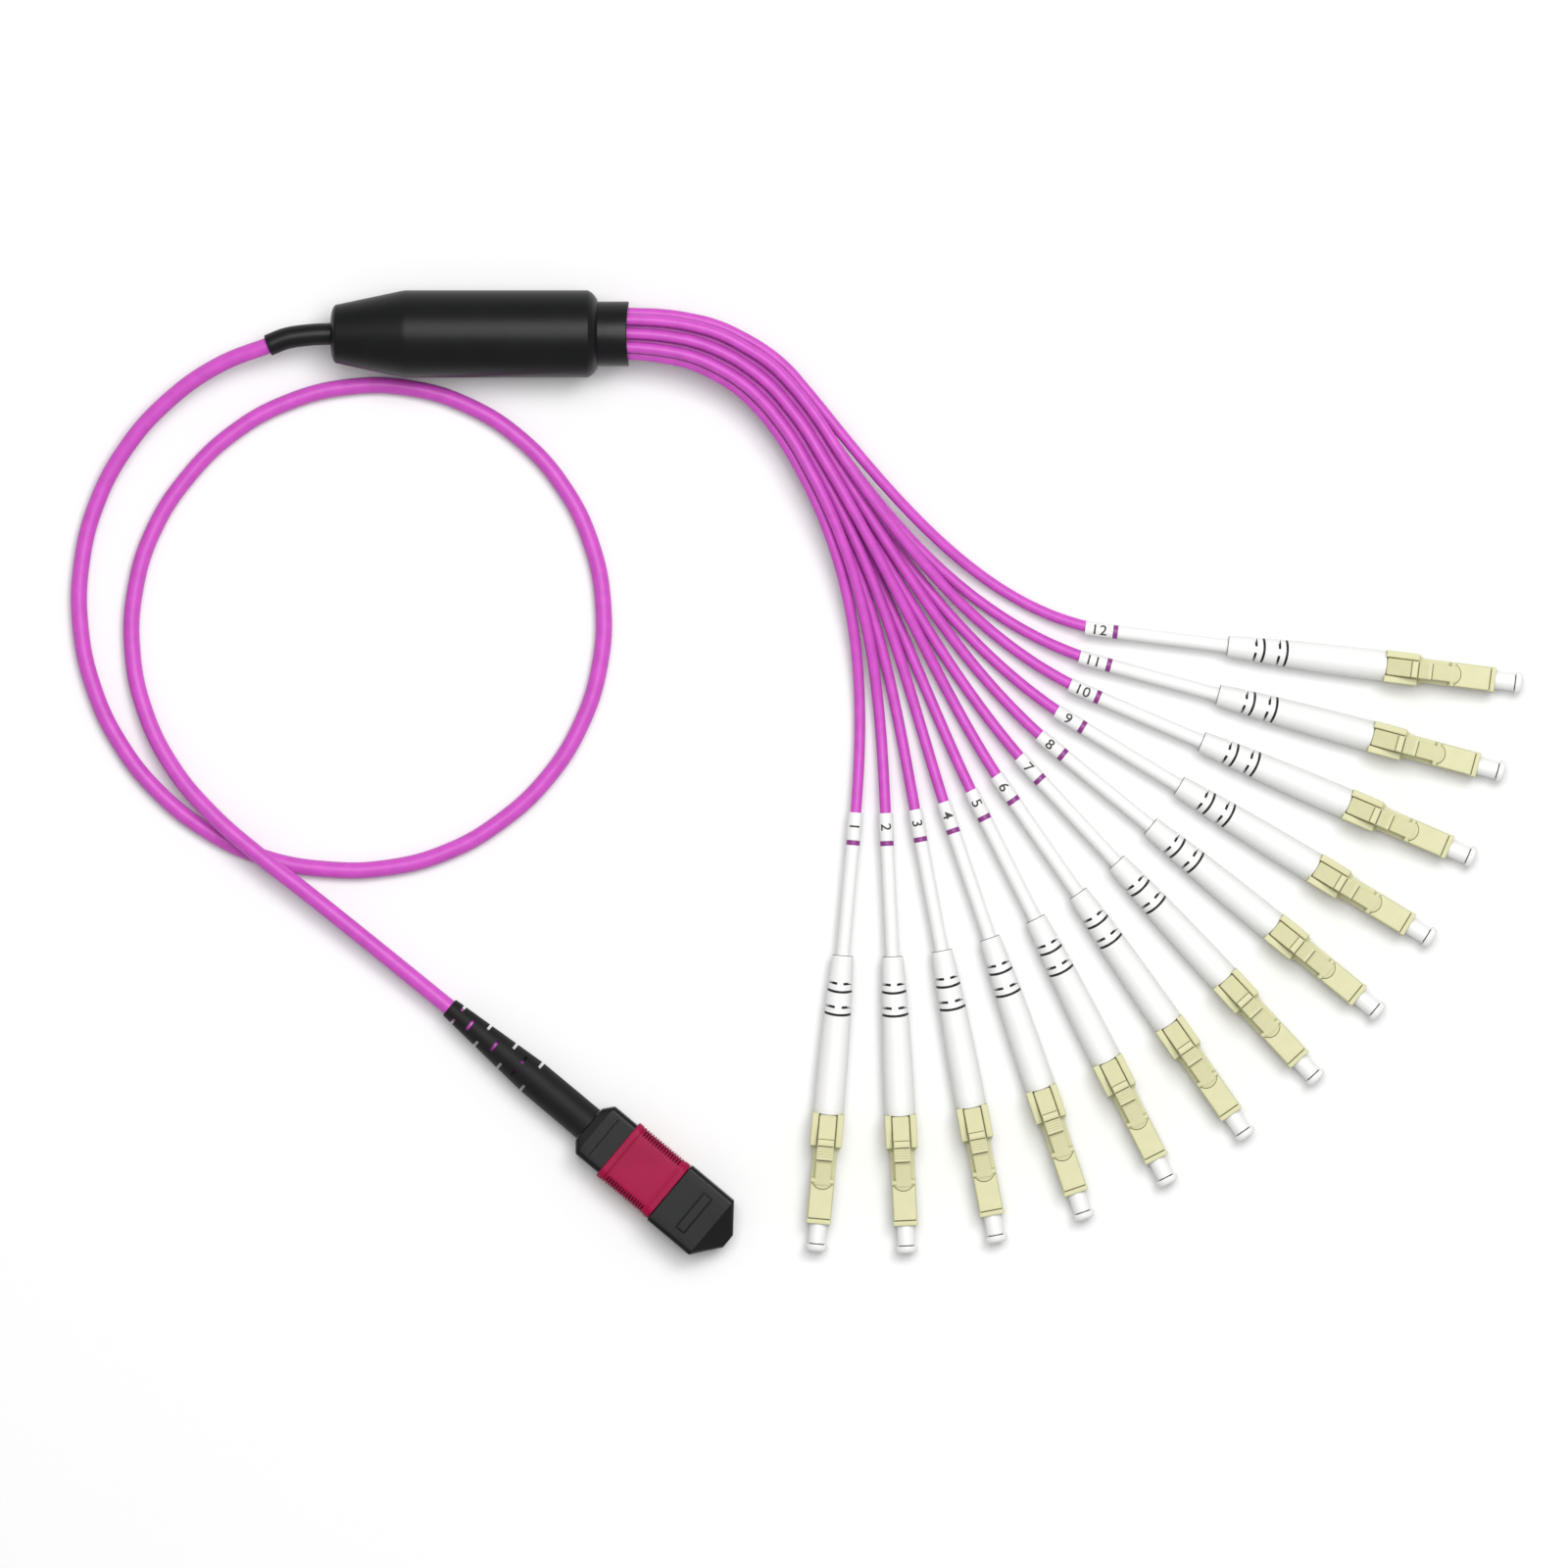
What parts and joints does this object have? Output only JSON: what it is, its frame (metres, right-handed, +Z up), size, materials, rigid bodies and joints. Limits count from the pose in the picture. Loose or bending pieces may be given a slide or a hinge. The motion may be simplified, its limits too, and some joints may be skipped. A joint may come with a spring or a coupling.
{
  "type": "fibre breakout cable",
  "caption": "Fibre breakout cable: a wide push-on plug on a looped trunk, a turned fanout housing and a fan of numbered legs with small latched plugs, all wearing dust caps.",
  "frame": {"origin": "on the floor under the middle of the rigid pieces: the housings, plugs and caps without the cords", "axes": "+X along the fanout housing from its trunk end to its leg end, +Y from the fan of plugs towards the housing, +Z up from the floor the cable lies on"},
  "size_m": [0.2648, 0.1755, 0.0159],
  "materials": {
    "violet_jacket": "smooth satin jacket",
    "black_plastic": "satin moulded plastic",
    "black_tube": "satin shrink tube",
    "black_rubber": "matt flexible boot",
    "crimson_plastic": "satin moulded plastic",
    "ferrule_polymer": "ground polymer",
    "white_boot": "smooth flexible boot",
    "beige_plastic": "satin moulded plastic",
    "white_cap": "smooth soft plastic"
  },
  "bodies": {
    "cable": {"fanout_housing": "black_plastic", "lc_body_01": "beige_plastic", "lc_body_02": "beige_plastic", "lc_body_03": "beige_plastic", "lc_body_04": "beige_plastic", "lc_body_05": "beige_plastic", "lc_body_06": "beige_plastic", "lc_body_07": "beige_plastic", "lc_body_08": "beige_plastic", "lc_body_09": "beige_plastic", "lc_body_10": "beige_plastic", "lc_body_11": "beige_plastic", "lc_body_12": "beige_plastic", "lc_boot_01": "white_boot", "lc_boot_02": "white_boot", "lc_boot_03": "white_boot", "lc_boot_04": "white_boot", "lc_boot_05": "white_boot", "lc_boot_06": "white_boot", "lc_boot_07": "white_boot", "lc_boot_08": "white_boot", "lc_boot_09": "white_boot", "lc_boot_10": "white_boot", "lc_boot_11": "white_boot", "lc_boot_12": "white_boot", "leg_01": "violet_jacket", "leg_02": "violet_jacket", "leg_03": "violet_jacket", "leg_04": "violet_jacket", "leg_05": "violet_jacket", "leg_06": "violet_jacket", "leg_07": "violet_jacket", "leg_08": "violet_jacket", "leg_09": "violet_jacket", "leg_10": "violet_jacket", "leg_11": "violet_jacket", "leg_12": "violet_jacket", "leg_collar": "black_tube", "mpo_boot": "black_rubber", "mpo_ferrule": "ferrule_polymer", "mpo_housing": "black_plastic", "trunk_cable": "violet_jacket", "trunk_sleeve": "black_tube"},
    "mpo_coupling_sleeve": {"mpo_coupling": "crimson_plastic"},
    "mpo_dust_cap": {"mpo_cap": "black_plastic"},
    "lc_dust_cap_01": {"lc_cap_01": "white_cap"},
    "lc_dust_cap_02": {"lc_cap_02": "white_cap"},
    "lc_dust_cap_03": {"lc_cap_03": "white_cap"},
    "lc_dust_cap_04": {"lc_cap_04": "white_cap"},
    "lc_dust_cap_05": {"lc_cap_05": "white_cap"},
    "lc_dust_cap_06": {"lc_cap_06": "white_cap"},
    "lc_dust_cap_07": {"lc_cap_07": "white_cap"},
    "lc_dust_cap_08": {"lc_cap_08": "white_cap"},
    "lc_dust_cap_09": {"lc_cap_09": "white_cap"},
    "lc_dust_cap_10": {"lc_cap_10": "white_cap"},
    "lc_dust_cap_11": {"lc_cap_11": "white_cap"},
    "lc_dust_cap_12": {"lc_cap_12": "white_cap"}
  },
  "joints": [
    {"name": "coupling_slide", "type": "slide", "parent": "cable", "child": "mpo_coupling_sleeve", "axis": [-0.766, 0.6428, 0], "range_m": [0, 0.0025], "stiffness_N_per_m": 200, "springref_m": -0.002},
    {"name": "mpo_cap_pull", "type": "slide", "parent": "cable", "child": "mpo_dust_cap", "axis": [0.766, -0.6428, 0], "range_m": [0, 0.015]},
    {"name": "lc_cap_pull_01", "type": "slide", "parent": "cable", "child": "lc_dust_cap_01", "axis": [-0.0906, -0.9959, 0], "range_m": [0, 0.01]},
    {"name": "lc_cap_pull_02", "type": "slide", "parent": "cable", "child": "lc_dust_cap_02", "axis": [0.0488, -0.9988, 0], "range_m": [0, 0.01]},
    {"name": "lc_cap_pull_03", "type": "slide", "parent": "cable", "child": "lc_dust_cap_03", "axis": [0.1874, -0.9823, 0], "range_m": [0, 0.01]},
    {"name": "lc_cap_pull_04", "type": "slide", "parent": "cable", "child": "lc_dust_cap_04", "axis": [0.3223, -0.9466, 0], "range_m": [0, 0.01]},
    {"name": "lc_cap_pull_05", "type": "slide", "parent": "cable", "child": "lc_dust_cap_05", "axis": [0.4509, -0.8926, 0], "range_m": [0, 0.01]},
    {"name": "lc_cap_pull_06", "type": "slide", "parent": "cable", "child": "lc_dust_cap_06", "axis": [0.5707, -0.8211, 0], "range_m": [0, 0.01]},
    {"name": "lc_cap_pull_07", "type": "slide", "parent": "cable", "child": "lc_dust_cap_07", "axis": [0.6794, -0.7337, 0], "range_m": [0, 0.01]},
    {"name": "lc_cap_pull_08", "type": "slide", "parent": "cable", "child": "lc_dust_cap_08", "axis": [0.7749, -0.632, 0], "range_m": [0, 0.01]},
    {"name": "lc_cap_pull_09", "type": "slide", "parent": "cable", "child": "lc_dust_cap_09", "axis": [0.8554, -0.518, 0], "range_m": [0, 0.01]},
    {"name": "lc_cap_pull_10", "type": "slide", "parent": "cable", "child": "lc_dust_cap_10", "axis": [0.9191, -0.3939, 0], "range_m": [0, 0.01]},
    {"name": "lc_cap_pull_11", "type": "slide", "parent": "cable", "child": "lc_dust_cap_11", "axis": [0.965, -0.2622, 0], "range_m": [0, 0.01]},
    {"name": "lc_cap_pull_12", "type": "slide", "parent": "cable", "child": "lc_dust_cap_12", "axis": [0.9921, -0.1253, 0], "range_m": [0, 0.01]}
  ]
}
